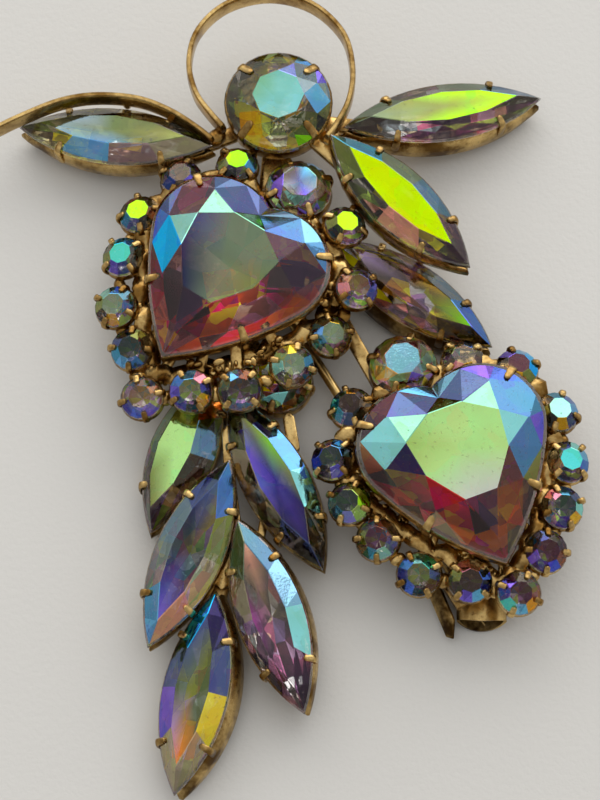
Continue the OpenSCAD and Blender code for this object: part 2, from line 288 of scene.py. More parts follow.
def strap(
    path: np.ndarray,
    across: np.ndarray | Row,
    width: np.ndarray | float,
    thickness: np.ndarray | float,
    roundness: float,
    sides: int,
) -> Shell:
    """Carry a rounded section along a path: w/2 |cos|^k across and t/2 |sin|^k through, with their signs.

    Args:
        path: rows of points.
        across: direction of the width, one for each point or one for all.
        width: size along across, one for each point or one for all.
        thickness: size at right angles to path and across, likewise.
        roundness: power k, where 1 gives an ellipse and less a rounded bar.
        sides: points round the section.

    Returns:
        The strap, closed at both ends.
    """
    n = len(path)
    tangent = np.gradient(path, axis=0)
    tangent /= np.linalg.norm(tangent, axis=1, keepdims=True)
    side = np.broadcast_to(np.asarray(across, float), (n, 3))
    side = side - (side * tangent).sum(axis=1, keepdims=True) * tangent
    side = side / np.linalg.norm(side, axis=1, keepdims=True)
    up = np.cross(tangent, side)
    angle = 2 * math.pi * (np.arange(sides) + 0.5) / sides
    u, v = (np.sign(wave) * np.abs(wave) ** roundness for wave in (np.cos(angle), np.sin(angle)))
    w, t = (np.broadcast_to(np.asarray(size, float), (n,))[:, None, None] / 2 for size in (width, thickness))
    wide, high = w * u[None, :, None] * side[:, None, :], t * v[None, :, None] * up[:, None, :]
    return loft(path[:, None, :] + wide + high)


def ends_rounded(count: int, share: float, low: float) -> np.ndarray:
    """Scale along a strap that falls to low in a quarter circle over a share of its length at both ends."""
    s = np.linspace(0, 1, count)
    d = np.clip(np.minimum(s, 1 - s) / share, 0, 1)
    return np.maximum(low, np.sqrt(1 - (1 - d) ** 2))


def blob(centre: Sequence[float], radii: Sequence[float], seed: int) -> Shell:
    """Bead of solder: a sphere by latitude and longitude, whose radius is swelled by two slow waves.

    Args:
        centre: its middle.
        radii: half sizes along X, Y and Z.
        seed: sets the waves' phases.

    Returns:
        The bead.
    """
    rows, sides, reach = 9, 14, math.pi / 2 * 0.96
    lat = np.linspace(-reach, reach, rows)[:, None]
    lon = (2 * math.pi * np.arange(sides) / sides)[None, :]
    round_wave = 0.12 * np.sin(2 * lon + seed * 1.7) * np.cos(lat)
    swell = 1 + round_wave + 0.08 * np.sin(3 * lat + seed * 2.3)
    flat = [np.cos(lat) * np.cos(lon) * swell, np.cos(lat) * np.sin(lon) * swell]
    shape = np.stack([*flat, np.sin(lat) * np.ones_like(lon) * swell], axis=-1)
    return loft(np.asarray(centre) + shape * np.asarray(radii))


# Outlines of the stones, as rings of points anticlockwise seen from above


class Outline:
    """Girdle of a stone, which its setting follows a little further out."""

    def ring(self, grow: float, fine: int) -> np.ndarray:
        """Points of the outline grown by grow millimetres, with fine steps for each of its own."""
        raise NotImplementedError


@dataclass(frozen=True)
class RoundOutline(Outline):
    """Circle with sixteen steps of its own."""

    diameter: float

    def ring(self, grow: float, fine: int) -> np.ndarray:
        """Points at equal angles on a circle."""
        n = 16 * fine
        a = 2 * math.pi * np.arange(n) / n
        return (self.diameter / 2 + grow) * np.column_stack([np.cos(a), np.sin(a)])


@dataclass(frozen=True)
class NavetteOutline(Outline):
    """Two arcs of eight steps that meet in points on X, the outer at +X. Share stretches their length."""

    share: float
    length: float = 15.8
    width: float = 5.2

    @property
    def radius(self) -> float:
        """Radius of each arc."""
        return (self.length**2 + self.width**2) / (4 * self.width)

    def ring(self, grow: float, fine: int) -> np.ndarray:
        """Points at equal angles on each arc, from the outer tip."""
        c = self.radius - self.width / 2
        r = self.radius + grow
        half = 8 * fine
        a = math.acos(c / r) * (1 - 2 * np.arange(half) / half)
        upper = np.column_stack([self.share * r * np.sin(a), r * np.cos(a) - c])
        return np.vstack([upper, -upper])

    def half_width(self, x: float) -> float:
        """Half the width at a distance along X from the middle."""
        return math.sqrt(self.radius**2 - (x / self.share) ** 2) - (self.radius - self.width / 2)

    def slope(self, x: float) -> float:
        """Angle of the edge to X, in degrees, at a distance along X from the middle."""
        return math.degrees(math.asin(x / self.share / self.radius))


@dataclass(frozen=True)
class HeartOutline(Outline):
    """Two lobes of one radius with nine steps each, and two long arcs of seven that meet in the point."""

    lobe_r: float = 4.9
    offset: float = 2.7
    drop: float = 11.15
    point_angle: float = 51.0

    def ring(self, grow: float, fine: int) -> np.ndarray:
        """Points from the notch down the left side to the point and up the right side."""
        p = math.radians(self.point_angle)
        side_r = (self.offset**2 + self.drop**2 - self.lobe_r**2) / (
            2 * (self.drop * math.sin(p) - self.offset * math.cos(p) - self.lobe_r)
        )
        centre = np.array([-math.cos(p) * side_r, math.sin(p) * side_r - self.drop])
        joint = math.atan2(-centre[1], self.offset - centre[0])
        r = self.lobe_r + grow
        a = np.linspace(math.acos(-self.offset / r), joint, 9 * fine + 1)
        lobe = np.column_stack([self.offset + r * np.cos(a), r * np.sin(a)])
        end = -math.acos(-centre[0] / (side_r + grow))
        b = np.linspace(joint, end, 7 * fine + 1)[1:]
        side = centre + (side_r + grow) * np.column_stack([np.cos(b), np.sin(b)])
        right = np.vstack([lobe, side])
        left = right * np.array([-1.0, 1.0])
        return np.vstack([left, right[-2:0:-1]])


# Stones

# Stretches of the girdle, each with a table corner, a star and a kite, and one's degrees in a round stone
MAINS = 8
SECTOR = 360 / MAINS
GIRDLE = 0.2
# Share of the crown's height at its rim
RIM = 0.1
# How much further out than half way the lower corners of the stars are
STAR_OUT = 0.02
# Pavilion's two breaks: share of the outline and share of the depth
UPPER_BREAK, LOWER_BREAK = (0.7, 0.5), (0.34, 0.82)
# Depth of a round stone's pavilion and cup, as a share of its diameter
ROUND_DEPTH = 0.4


@dataclass(frozen=True)
class Play:
    """Colours of one stone's facets, by the names in Fire.

    The table has its centre first and then its eight corners, or one colour. Kites and stars have one for
    each stretch of the girdle and rims two, and the pavilion goes through its depths again and again. Rounds
    start at the photo's right, navettes at their outer tip and hearts at the left of the notch, and all run
    anticlockwise.
    """

    table: str
    kites: str
    stars: str = ""
    rims: str = ""
    depths: str = "CLEAR PINK FRESH LILAC PEACH SEAFOAM GOLD"


@dataclass
class Stone:
    """A foiled glass stone: crown and girdle of coated glass, pavilion of foil.

    Fine is the number of steps for each of the outline's own, and first is the own step at which the facets
    start. Grow is what the girdle is larger by than the plain node's, edge is the outline's share at the
    crown's rim, slim narrows the table across and shift moves it.
    """

    node: str
    place: Place
    outline: Outline
    play: Play
    crown: float
    pavilion: float
    fine: int = 2
    first: int = 0
    table_share: float = 0.54
    centre: Point = (0.0, 0.0)
    stars: bool = True
    turn_play: int = 0
    grow: float = 0.16
    edge: float = 0.965
    slim: float = 1.0
    shift: Point = (0.0, 0.0)

    def rows(self) -> tuple[np.ndarray, ...]:
        """Work out the points: each is centre + (girdle - centre) times a share, at a height.

        Returns:
            Corners of the table, lower corners of the stars, rim of the crown, girdle's top and bottom, the
            two breaks of the pavilion, and last the culet and the table's middle.
        """
        ring = self.outline.ring(self.grow, self.fine)
        n = len(ring)
        step = n // MAINS
        half = step // 2
        first = self.first * self.fine
        c, shift = np.array(self.centre), np.array(self.shift)
        top = GIRDLE / 2
        main = (np.arange(MAINS) * step + first) % n
        middle = (main + half) % n
        ends = (np.arange(2 * MAINS) * half + first) % n
        chord = (ring[ends] + ring[(ends + half) % n]) / 2
        spread = (1 + self.table_share) / 2 + STAR_OUT

        def at(points: np.ndarray, share: float, z: float) -> np.ndarray:
            """Points drawn in to a share of the outline, at a height."""
            return np.column_stack([c + (points - c) * share, np.full(len(points), z)])

        return (
            at(ring[main], self.table_share, top + self.crown) * [1.0, self.slim, 1.0] + [*shift, 0.0],
            at(ring[middle], spread, top + self.crown / 2) + [*(shift / 2), 0.0],
            at(ring, self.edge, top + RIM * self.crown),
            at(ring, 1.0, 0.5 * top),
            at(ring, 1.0, -top),
            at(chord, UPPER_BREAK[0], -UPPER_BREAK[1] * self.pavilion),
            at(ring[middle], LOWER_BREAK[0], -LOWER_BREAK[1] * self.pavilion),
            np.array([[*c, -self.pavilion], [*(c + shift), top + self.crown]]),
        )

    def shell(self) -> Shell:
        """Span the facets between the rows of points.

        Returns:
            The stone's shell, with coated glass in slot 0 and foil in slot 1.
        """
        rows = self.rows()
        t0, m0, u0, o0, l0, b0, p0, culet = np.cumsum([0, *(len(r) for r in rows[:-1])]).tolist()
        n = len(rows[2])
        step = n // MAINS
        half = step // 2
        first = self.first * self.fine
        shell = Shell(np.vstack(rows))
        play, turn = self.play, self.turn_play
        tables = (play.table, play.kites, play.stars, play.depths)
        table, kites, stars, depths = (fires(names) for names in tables)
        rims, corners = fires(play.rims) or kites, table[1:] or table

        def face(indices: Sequence[int], shades: Sequence[Fire], slot: int = 0) -> None:
            """Append one facet, with one colour or one for each of its corners."""
            each = shades if len(shades) > 1 else [shades[0]] * len(indices)
            shell.faces.append(tuple(indices))
            shell.slots.append(slot)
            shell.tints.append(np.array([s.corner for s in each]))

        def pick(shades: Sequence[Fire], i: int) -> list[Fire]:
            """Colour of the i-th facet round the stone."""
            return [shades[i % len(shades)]]

        for k in range(MAINS):
            after, before = (k + 1) % MAINS, (k + MAINS - 1) % MAINS
            tips = pick(corners, k + turn) + pick(corners, after + turn)
            face((t0 + k, t0 + after, culet + 1), (*tips, table[0]))
            span = [(k * step + first + j) % n for j in range(step + 1)]
            u, o, low = ([base + j for j in span] for base in (u0, o0, l0))
            kite = pick(kites, k + turn)
            if self.stars:
                face((t0 + k, m0 + k, t0 + after), pick(stars, k + turn))
                face((t0 + k, m0 + before, u[0], m0 + k), kite)
                for j in range(step):
                    face((m0 + k, u[j], u[j + 1]), pick(rims, 2 * (k + turn) + (j >= half)))
            else:
                for j in range(step):
                    face((t0 + (k if j < half else after), u[j], u[j + 1]), kite)
                face((t0 + k, u[half], t0 + after), kite)
            for j in range(step):
                belt = 2 * k + (j >= half)
                # The girdle band takes the near-white painted highlight colour
                face((u[j], o[j], o[j + 1], u[j + 1]), (Fire.EDGE,))
                face((o[j], low[j], low[j + 1], o[j + 1]), (Fire.EDGE,))
                face((low[j], b0 + belt, low[j + 1]), pick(depths, belt * 3), 1)
            here, last = b0 + 2 * k, b0 + (2 * k + 2) % (2 * MAINS)
            face((here, here + 1, low[half]), pick(depths, 5 * k + 1), 1)
            face((here + 1, last, low[step]), pick(depths, 7 * k + 2), 1)
            face((here, p0 + k, here + 1), pick(depths, k + 3), 1)
            face((p0 + k, p0 + after, last, here + 1), pick(depths, 3 * k + 4), 1)
            face((p0 + k, culet, p0 + after), pick(depths, 2 * k + 5), 1)
        return shell

    def make(self, glass: bpy.types.Material, foil: bpy.types.Material) -> bpy.types.Object:
        """Build the stone in its place, in the stead of its plain node."""
        shell = Shell()
        shell.take(self.shell(), self.place)
        thing = shell.build("cut_" + self.node, (glass, foil))
        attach(thing, BODY)
        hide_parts(self.node)
        log.info("%s: %d facets", thing.name, len(shell.faces))
        return thing


def round_cut(node: str, place: Place, wide: float, play: Play, crown: float = 0.23, **more: Any) -> Stone:
    """Round stone, whose colours keep their places in the photo however its cup is turned.

    Args:
        node: name of its plain node.
        place: where it stands.
        wide: its diameter.
        play: colours of its facets.
        crown: height of the crown as a share of the diameter.
        more: other fields of the stone.

    Returns:
        The stone.
    """
    turn = round(place.turn / SECTOR) % MAINS
    return Stone(
        node, place, RoundOutline(wide), play, crown * wide, ROUND_DEPTH * wide, turn_play=turn, **more
    )


# Finishes


class Wire:
    """Output of a shader node, with the arithmetic that adds Math nodes."""

    def __init__(self, nodes: Nodes, socket: bpy.types.NodeSocket) -> None:
        """Keep the output and the tree that it is in."""
        self.nodes = nodes
        self.socket = socket

    def __add__(self, other: Wire | float) -> Wire:
        """Sum."""
        return self.nodes.arithmetic("ADD", self, other)

    def __sub__(self, other: Wire | float) -> Wire:
        """Difference."""
        return self.nodes.arithmetic("SUBTRACT", self, other)

    def __rsub__(self, other: float) -> Wire:
        """Difference, with the number first."""
        return self.nodes.arithmetic("SUBTRACT", other, self)

    def __mul__(self, other: Wire | float) -> Wire:
        """Product."""
        return self.nodes.arithmetic("MULTIPLY", self, other)

    __radd__ = __add__
    __rmul__ = __mul__

    def between(self, low: float, high: float) -> Wire:
        """Share of the way from low to high, held to 0 and 1 and eased at both ends."""
        values = {"Value": self, "From Min": low, "From Max": high}
        return self.nodes.node("ShaderNodeMapRange", {"interpolation_type": "SMOOTHSTEP"}, values)


class Nodes:
    """Node tree of a material or a world."""

    def __init__(self, tree: bpy.types.NodeTree) -> None:
        """Empty the tree."""
        self.tree = tree
        tree.nodes.clear()

    def node(
        self,
        kind: str,
        settings: dict[str, Any] | None = None,
        values: dict[int | str, Any] | None = None,
        out: int | str = 0,
    ) -> Wire:
        """Add a node.

        Args:
            kind: type of the node.
            settings: properties, set first; stops are a colour ramp's positions and colours.
            values: numbers, colours or wires for its sockets.
            out: output that is wanted.

        Returns:
            That output.
        """
        made = self.tree.nodes.new(kind)
        for key, value in (settings or {}).items():
            if key == "stops":
                ramp = made.color_ramp
                while len(ramp.elements) < len(value):
                    ramp.elements.new(0.5)
                for element, (position, colour) in zip(ramp.elements, value):
                    element.position = position
                    element.color = (*colour, 1.0)
            else:
                setattr(made, key, value)
        for key, value in (values or {}).items():
            if isinstance(value, Wire):
                self.tree.links.new(value.socket, made.inputs[key])
            else:
                made.inputs[key].default_value = value
        return Wire(self, made.outputs[out])

    def arithmetic(
        self, operation: str, first: Wire | float, second: Wire | float, held: bool = False
    ) -> Wire:
        """Work out a sum, difference or product, which may be held to 0 and 1."""
        return self.node("ShaderNodeMath", {"operation": operation, "use_clamp": held}, {0: first, 1: second})

    def end(self, kind: str, shader: Wire) -> None:
        """End the tree in a shader."""
        made = self.tree.nodes.new(kind)
        self.tree.links.new(shader.socket, made.inputs["Surface"])


class Paint(Nodes):
    """Node tree of one material."""

    def __init__(self, name: str) -> None:
        """Make an empty material."""
        self.material = bpy.data.materials.new(name)
        self.material.use_nodes = True
        super().__init__(self.material.node_tree)

    def place(self) -> Wire:
        """Coordinates of the piece, in metres."""
        return self.node("ShaderNodeTexCoord", out="Object")

    def fire(self, out: str) -> Wire:
        """Facet's own Color, or its Alpha, which is how much the coating covers."""
        return self.node("ShaderNodeAttribute", {"attribute_name": FIRE}, out=out)

    def noise(self, scale: float, detail: float, warp: float = 0.0) -> Wire:
        """Smooth noise from 0 to 1, with scale waves to a metre."""
        values = {"Vector": self.place(), "Scale": scale, "Detail": detail, "Distortion": warp}
        return self.node("ShaderNodeTexNoise", None, values, "Fac")

    def cells(self, scale: float) -> list[Wire]:
        """Two numbers from 0 to 1 for each straight-edged cell, with scale cells to a metre."""
        values = {"Vector": self.place(), "Scale": scale}
        found = self.node("ShaderNodeTexVoronoi", {"distance": "MANHATTAN"}, values, "Color")
        return [self.node("ShaderNodeSeparateColor", None, {"Color": found}, i) for i in (0, 1)]

    def mix(self, share: Wire | float, first: Any, second: Any) -> Wire:
        """Mix two colours."""
        return self.node("ShaderNodeMix", {"data_type": "RGBA"}, {0: share, 6: first, 7: second}, 2)

    def tone(self, colour: Wire, hue: Wire, saturation: float, value: Wire) -> Wire:
        """Shift a colour's hue, where 0.5 leaves it, and scale its saturation and value."""
        values = {"Color": colour, "Hue": hue, "Saturation": saturation, "Value": value}
        return self.node("ShaderNodeHueSaturation", None, values)

    def bump(self, strength: float, depth: float, height: Wire) -> Wire:
        """Normal over small hills of a depth in metres."""
        return self.node("ShaderNodeBump", None, {"Strength": strength, "Distance": depth, "Height": height})

    def shader(self, values: dict[str, Any]) -> Wire:
        """Principled shader with these sockets."""
        return self.node("ShaderNodeBsdfPrincipled", None, values)

    def finish(self, shader: Wire) -> bpy.types.Material:
        """End the tree and give the material."""
        self.end("ShaderNodeOutputMaterial", shader)
        return self.material


@dataclass(frozen=True)
class CoatedGlass:
    """Clear glass under a coating that turns part of the light back in the facet's own colour."""

    name: str
    roughness: float = 0.05
    ior: float = 1.54
    patches: float = 420.0
    clouds: float = 210.0
    grain: float = 5200.0
    specks: float = 3600.0
    contrast: float = 0.08
    stain: float = 0.2
    drift: float = 0.035
    light: float = 1.05
    swell: float = 0.5
    dusty: float = 0.25

    def make(self) -> bpy.types.Material:
        """Tint is the facet's colour, its hue and light moved by slow noise and by straight-edged patches."""
        paint = Paint(self.name)
        slow = paint.noise(self.clouds, 2.0, 0.6) - 0.5
        patch = paint.cells(self.patches)[0] - 0.5
        hue = 0.5 + slow * (2 * self.drift) + patch * self.drift
        tint = paint.tone(
            paint.fire("Color"), hue, 1.0, self.light + patch * self.contrast + slow * self.swell
        )
        dust = paint.noise(self.specks, 3.0).between(0.6, 0.72)
        body = paint.mix(self.stain, opaque("ffffff"), tint)
        clear = paint.shader(
            {"Base Color": body, "Roughness": 0.01 + dust * 0.1, "IOR": self.ior, "Transmission Weight": 1.0}
        )
        rough = self.roughness + dust * self.dusty
        bump = paint.bump(0.03, 0.1 * MM, paint.noise(self.grain, 2.0))
        coat = paint.shader({"Base Color": tint, "Metallic": 1.0, "Roughness": rough, "Normal": bump})
        cover = paint.arithmetic("SUBTRACT", paint.fire("Alpha"), dust * self.dusty, held=True)
        return paint.finish(paint.node("ShaderNodeMixShader", None, {0: cover, 1: clear, 2: coat}))


@dataclass(frozen=True)
class Foil:
    """Mirror foil under a stone, which each back facet turns to a colour of its own."""

    name: str
    flakes: float = 620.0
    crinkles: float = 480.0
    roughness: float = 0.03
    light: float = 0.7
    # How much brighter the brightest flakes are painted: painted sparkle, up to several times what the foil
    # could reflect
    painted_sparkle: float = 3.4

    def make(self) -> bpy.types.Material:
        """Tint is the facet's colour, broken up into straight-edged flakes; a few of them are painted far
        brighter than a mirror can be, as painted sparkle.
        """
        paint = Paint(self.name)
        bright, warm = paint.cells(self.flakes)
        hue = 0.5 + (warm - 0.5) * 0.08
        # Painted sparkle: the brightest flakes get a value far above one
        tint = paint.tone(paint.fire("Color"), hue, 1.15, self.light + bright * bright * self.painted_sparkle)
        return paint.finish(paint.shader({
            "Base Color": tint,
            "Metallic": 1.0 - warm * 0.15,
            "Roughness": self.roughness + paint.fire("Alpha") * 0.32,
            "Normal": paint.bump(0.3, 0.4 * MM, paint.noise(self.crinkles, 2.0, 0.5)),
        }))


@dataclass(frozen=True)
class AntiqueGold:
    """Brown gold plate patched with brighter gold, with painted shade that darkens it low down, and fine dark
    specks of dirt.
    """

    name: str = "antique_gold"
    bright: str = "d8b878"
    body: str = "7e5c2a"
    # Dark brown of the painted shade low down, and of the specks of dirt
    shade: str = "2a1b0b"
    clouds: float = 330.0
    specks: float = 2600.0
    roughness: float = 0.2

    def make(self) -> bpy.types.Material:
        """Colour runs from painted shade low down to brown gold higher up, is patched with bright gold by
        cloudy noise, and has fine dark specks of dirt.
        """
        paint = Paint(self.name)
        height = paint.node("ShaderNodeSeparateXYZ", None, {"Vector": paint.place()}, "Z") * (1 / MM)
        cloud = paint.noise(self.clouds, 4.0, 0.4)
        speck = paint.noise(self.specks, 3.0)
        # Painted shade: the gold darkens towards the bottom, with a cloudy edge, as if shaded there
        above_painted_shade = (height + (cloud - 0.5) * 4.0).between(-1.0, 4.6)
        body_with_painted_shade = paint.mix(above_painted_shade, opaque(self.shade), opaque(self.body))
        plate = paint.mix((cloud * 0.75 + speck * 0.25).between(0.36, 0.66), body_with_painted_shade, opaque(self.bright))
        dirt = speck.between(0.6, 0.72) * 0.3
        return paint.finish(paint.shader({
            "Base Color": paint.mix(dirt, plate, opaque(self.shade)),
            "Metallic": 1.0 - dirt * 0.5,
            "Roughness": self.roughness + (1.0 - above_painted_shade) * 0.14 + speck * 0.1,
            "Normal": paint.bump(0.25, 0.06 * MM, speck),
        }))


@dataclass(frozen=True)
class FloorFinish:
    """Plain pale floor, not quite smooth."""

    name: str = "pale_floor"
    colour: str = "d8d7d3"
    other: str = "cccac5"
    clouds: float = 18.0
    grain: float = 2200.0

    def make(self) -> bpy.types.Material:
        """Colour is a pale grey with a slow drift, and the bump is noise finer than a millimetre."""
        paint = Paint(self.name)
        slow = paint.noise(self.clouds, 2.0)
        fine = paint.noise(self.grain, 2.0)
        tint = paint.mix(slow.between(0.3, 0.7) * 0.25, opaque(self.colour), opaque(self.other))
        bump = paint.bump(0.15, 0.2 * MM, fine)
        return paint.finish(paint.shader({"Base Color": tint, "Roughness": 0.8 + fine * 0.1, "Normal": bump}))


# Metalwork

# Edges of the metal that are flatter than this many degrees are shaded smooth
SMOOTH_BELOW = 38.0


def prong(
    profile: Sequence[Point], width: float, taper: float, thickness: float, swell: float = 1.0
) -> Shell:
    """One prong, at +X, whose tip lies on the crown.

    Args:
        profile: x and z of the points that it climbs through, from its foot.
        width: width at the foot.
        taper: share of the width that is lost towards the tip.
        thickness: thickness of the strip.
        swell: what the upper half's thickness is multiplied by.

    Returns:
        The prong.
    """
    path = smooth_line([(x, 0, z) for x, z in profile], 4)
    s = np.linspace(0, 1, len(path))
    wide = width * (1 - taper * s) * ends_rounded(len(path), 0.12, low=0.3)
    thick = thickness * np.where(s > 0.5, swell, 1.0) * ends_rounded(len(path), 0.08, low=0.4)
    return strap(path, (0, 1, 0), wide, thick, roundness=0.75, sides=10)


@dataclass
class Cup:
    """Turned cup of a round stone, with four folded prongs."""

    diameter: float
    prong: float
    wall: float = 0.35
    sides: int = 28

    def shell(self) -> Shell:
        """Turned wall with a rolled rim, and prongs that climb the wall and fold over the girdle."""
        r = self.diameter / 2
        depth = ROUND_DEPTH * self.diameter
        out = r + self.wall
        profile = (
            (0.66 * r, -depth - 0.4),
            (0.7 * r, -depth - 0.36),
            (out - 0.12, -0.5 * depth),
            (out - 0.1, -0.36 * depth),
            (r + 0.1, -0.2),
            (r + 0.04, -0.14),
            (r - 0.1, -0.22),
            (0.82 * r, -0.66 * depth),
            (0.42 * r, -depth - 0.12),
            (0.02, -depth - 0.14),
        )
        made = turned(profile, self.sides)
        reach = 0.13 * self.diameter
        low = -0.55 * ROUND_DEPTH * self.diameter
        climb = (
            (r + 0.12, low),
            (r + 0.26, low * 0.35),
            (r + 0.31, 0.08),
            (r + 0.14, 0.4),
            (r - 0.4 * reach, 0.36 + 0.4 * reach),
            (r - reach, 0.27 + 0.95 * reach),
        )
        for i in range(4):
            made.take(prong(climb, self.prong, 0.22, 0.26, swell=1.15), Place(0, 0, 0, 45 + 90 * i))
        return made


@dataclass
class Collar:
    """Wall that follows the outline of a fancy stone.

    Band is the height of its straight part and low_share the outline's share at the bottom. The rim drops by
    tip_drop at the two tips, from tip_at of the half length on, and lean moves the bottom along Y.
    """

    outline: Outline
    depth: float
    band: float
    low_share: float
    tip_drop: float = 0.0
    lean: float = 0.0
    outer: float = 0.17
    inner: float = -0.02
    tip_at: float = 0.74
    tip_run: float = 0.16

    def shell(self) -> Shell:
        """Rings of the grown outline, up to a rolled rim and then down the inside to a pointed floor."""
        outer, inner = (self.outline.ring(grow, 3) for grow in (self.outer, self.inner))
        c = outer.mean(axis=0)
        far = np.abs(outer[:, 0]) / np.abs(outer[:, 0]).max()
        ease = np.clip((far - self.tip_at) / self.tip_run, 0, 1)
        drop = self.tip_drop * ease * ease * (3 - 2 * ease)
        crest = outer * 0.4 + inner * 0.6
        # Each ring's points, share of the outline, height and how much it follows the drop at the tips
        stack = (
            (outer, self.low_share * 0.985, -self.depth, 0),
            (outer, self.low_share, -self.depth + 0.08, 0),
            (outer, self.low_share + 0.9 * (1 - self.low_share), -self.band - 0.1, 0.2),
            (outer, 1.0, -self.band, 0.3),
            (outer, 1.0, -0.5 * self.band, 0.6),
            (crest, 1.0, -0.2, 0.8),
            (inner, 1.0, -0.14, 0.8),
            (inner, 0.97, -0.2, 0.8),
            (inner, self.low_share - 0.06, -self.depth + 0.34, 0),
            (inner, 0.03, -self.depth + 0.3, 0),
        )
        rings = []
        for points, share, z, follow in stack:
            flat = c + (points - c) * share + np.array([0.0, self.lean]) * max(0.0, -z - 0.3) / self.depth
            rings.append(np.column_stack([flat, z - drop * follow]))
        return loft(np.stack(rings))


def claw(width: float, reach: float, slope: float, low: float) -> Shell:
    """Prong of a collar, at the origin.

    Args:
        width: width of the strip.
        reach: how far it covers the crown.
        slope: rise of the crown to one of reach.
        low: height of its foot.

    Returns:
        The prong.
    """
    out = 0.3
    climb = (
        (out - 0.14, low),
        (out, low * 0.45),
        (out + 0.02, 0.05),
        (out - 0.16, 0.36),
        (-0.35 * reach, 0.34 + 0.35 * reach * slope),
        (-reach, 0.24 + reach * slope),
    )
    return prong(climb, width, 0.35, 0.28)


@dataclass
class Metal:
    """One soldered part of the setting: it gathers cups, collars, bars and beads into one piece."""

    node: str
    shell: Shell = field(default_factory=Shell)

    def bar(self, x0: float, y0: float, x1: float, y1: float, under: float, width: float) -> None:
        """Flat bar with round ends between two points, its underside at a height."""
        height, count = 0.7, 22
        a, b = np.array([x0, y0]), np.array([x1, y1])
        length = np.linalg.norm(b - a)
        along = (b - a) / length
        s = np.linspace(0, 1, count)[:, None]
        flat = (a - along * width / 2) * (1 - s) + (b + along * width / 2) * s
        path = np.column_stack([flat, np.full(count, under + height / 2)])
        shape = width * ends_rounded(count, min(0.5, width / 2 / (length + width)), low=0.2)
        self.shell.take(strap(path, (-along[1], along[0], 0), shape, height, roundness=0.5, sides=14))

    def bead(self, x: float, y: float, z: float, r: float, h: float, seed: int) -> None:
        """Bead of solder of height h that stands on a height z."""
        wide = r * 1.15
        self.shell.take(blob((x, y, z + h / 2), (wide, wide, h / 2), seed))

    def ribbon(self, points: Sequence[Point], under: float) -> None:
        """Strip on its edge along a curve, with its long edges rounded and its underside at a height."""
        height, thick = 1.8, 0.5
        line = smooth_line(points, 6)
        path = np.column_stack([line, np.full(len(line), under + height / 2)])
        shape = height * ends_rounded(len(path), 0.02, low=0.5)
        self.shell.take(strap(path, (0, 0, 1), shape, thick, roundness=0.45, sides=14))

    def make(self, gold: bpy.types.Material) -> bpy.types.Object:
        """Build the part in the stead of its plain node."""
        thing = self.shell.build("made_" + self.node, (gold,), SMOOTH_BELOW)
        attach(thing, BODY)
        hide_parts(self.node)
        log.info("%s: %d faces", thing.name, len(self.shell.faces))
        return thing


# Colours of the stones

HEART_LEFT_PLAY = Play(
    table="GREYGREEN GREYGREEN SLATE NAVY NAVY GREYGREEN OLIVE GREYGREEN GREYGREEN",
    stars="MINT SEAFOAM ROSE PLUM CLEAR_ROSE ROSE PLUM MINT",
    kites="DUSK MAUVE CYAN ROSE ROSE CLEAR_ROSE PLUM DENIM",
    rims="DUSK MAUVE SLATE AZURE ROSE CLEAR_ROSE CLEAR ROSE "
    "CLEAR CLEAR_ROSE COPPER ROSE DENIM HAZE STEEL DUSK",
    depths="EMBER COAL CRIMSON EMBER ORANGE COAL CRIMSON PINK CRIMSON",
)
HEART_RIGHT_PLAY = Play(
    table="PALE_LIME PALE_LIME FRESH PALE_LIME PALE PALE PALE_LIME PALE_LIME PALE_LIME",
    stars="MINT NAVY CRIMSON PLUM ROSE AQUA MINT MINT",
    kites="DUSK AQUA CLEAR_GREEN ROSE COPPER DENIM DENIM DUSK",
    rims="WINE MAUVE COPPER ROSE CLEAR_ROSE BEIGE CLEAR CLEAR_ROSE "
    "ROSE OLIVE VIOLET DENIM AZURE VIOLET STEEL SKY",
    depths="CRIMSON EMBER PINK MOSS ORANGE CRIMSON COAL EMBER PEACH",
)
ROUND_PLAY = Play(
    table="AQUA AQUA AQUA AQUA MINT MINT AQUA SEAFOAM AQUA",
    stars="GREYBLUE PERIWINKLE SMOKE SMOKE TAUPE CLEAR_GREEN MOSS SMOKE",
    kites="SKY GREYBLUE TAUPE SMOKE TAUPE AMBER CLEAR_GREEN MOSS",
    rims="GREYBLUE VIOLET SKY TAUPE OLIVE SMOKE SMOKE TAUPE SMOKE TAUPE GOLD AMBER CLEAR LIME INK MOSS",
    depths="GOLD CLEAR OLIVE AMBER CLEAR_GREEN TAUPE CLEAR",
)
MEDIUM_PLAYS = (
    Play(
        table="SLATE STEEL SKY SMOKE SMOKE SILVER TAUPE VIOLET GREYBLUE",
        stars="SEAFOAM SKY SILVER VIOLET CLEAR SMOKE TAUPE SILVER",
        kites="SEAFOAM SKY SILVER VIOLET VIOLET CLEAR TAUPE SILVER",
    ),
    Play(
        table="SMOKE PLUM ROSE AQUA SEAFOAM SMOKE AQUA ROSE PLUM",
        stars="PLUM ROSE SMOKE SMOKE SMOKE COPPER AQUA MAUVE",
        kites="MAUVE COPPER SMOKE SLATE SMOKE AMBER AQUA ROSE",
    ),
    Play(
        table="HAZE",
        stars="SMOKE TAUPE SMOKE COPPER TAUPE AMBER OLIVE GREYBLUE",
        kites="SMOKE TAUPE SMOKE COPPER COPPER AMBER OLIVE VIOLET",
    ),
)
